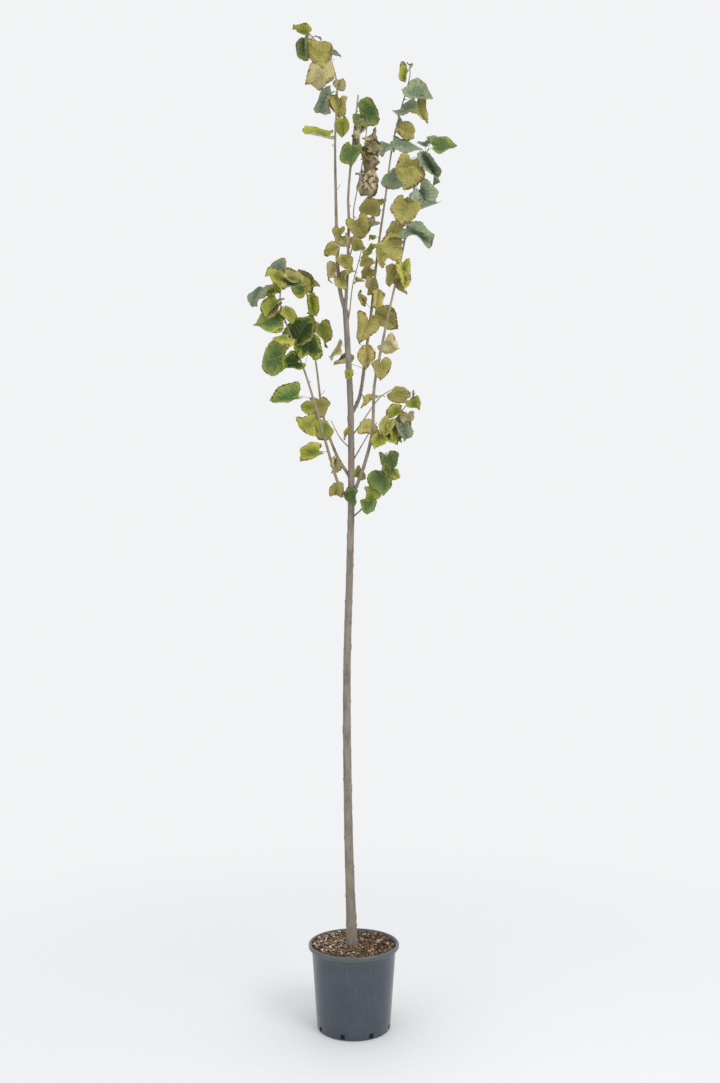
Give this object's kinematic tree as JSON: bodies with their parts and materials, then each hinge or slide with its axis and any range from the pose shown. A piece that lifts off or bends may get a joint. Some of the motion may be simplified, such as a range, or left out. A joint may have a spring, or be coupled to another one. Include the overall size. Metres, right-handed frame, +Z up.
{
  "type": "potted silver linden tree",
  "caption": "Young silver linden standard with a slender bare trunk and a sparse, upright, autumn-tinted crown of heart-shaped leaves, in a round nursery pot of bark substrate.",
  "frame": {"origin": "centre of the pot's flat underside", "axes": "+Z up along the trunk, +X to the right of the front view, +Y away from the front view"},
  "size_m": [0.8134, 0.498, 4.0551],
  "materials": {
    "pot": "dark blue-grey moulded plastic, faint vertical scuffs",
    "substrate": "loose bark and coir chips",
    "bark": "smooth grey-brown young bark with lenticels",
    "foliage": "green to olive leaves with yellowing, browned margins and a pale felted underside",
    "dried_foliage": "withered grey-tan leaves"
  },
  "bodies": {
    "root": {"bough_left_high": "bark", "bough_left_low": "bark", "bough_right_high": "bark", "bough_right_low": "bark", "foliage_dried": "dried_foliage", "foliage_fork": "foliage", "foliage_inner": "foliage", "foliage_left_high": "foliage", "foliage_left_low": "foliage", "foliage_low": "foliage", "foliage_middle": "foliage", "foliage_right_high": "foliage", "foliage_right_low": "foliage", "foliage_side": "foliage", "foliage_top": "foliage", "leader_left": "bark", "leader_right": "bark", "leaf_bough_left_high_1": "foliage", "leaf_bough_left_high_2": "foliage", "leaf_bough_left_low_1": "foliage", "leaf_bough_left_low_2": "foliage", "leaf_bough_left_low_3": "foliage", "leaf_bough_left_low_4": "foliage", "leaf_bough_left_low_5": "foliage", "leaf_bough_right_high_1": "foliage", "leaf_bough_right_high_2": "foliage", "leaf_bough_right_high_3": "foliage", "leaf_bough_right_high_4": "foliage", "leaf_bough_right_high_5": "foliage", "leaf_bough_right_high_6": "foliage", "leaf_bough_right_high_7": "foliage", "leaf_bough_right_high_8": "foliage", "leaf_bough_right_high_9": "foliage", "leaf_bough_right_low_1": "foliage", "leaf_bough_right_low_2": "foliage", "leaf_leader_right_1": "foliage", "leaf_leader_right_2": "foliage", "leaf_trunk_1": "foliage", "leaf_trunk_2": "foliage", "leaf_trunk_3": "foliage", "leaf_trunk_4": "foliage", "leaf_trunk_5": "foliage", "pot": "pot", "substrate": "substrate", "trunk": "bark", "twig_bare_left": "bark", "twig_bare_right": "bark"}
  },
  "joints": []
}
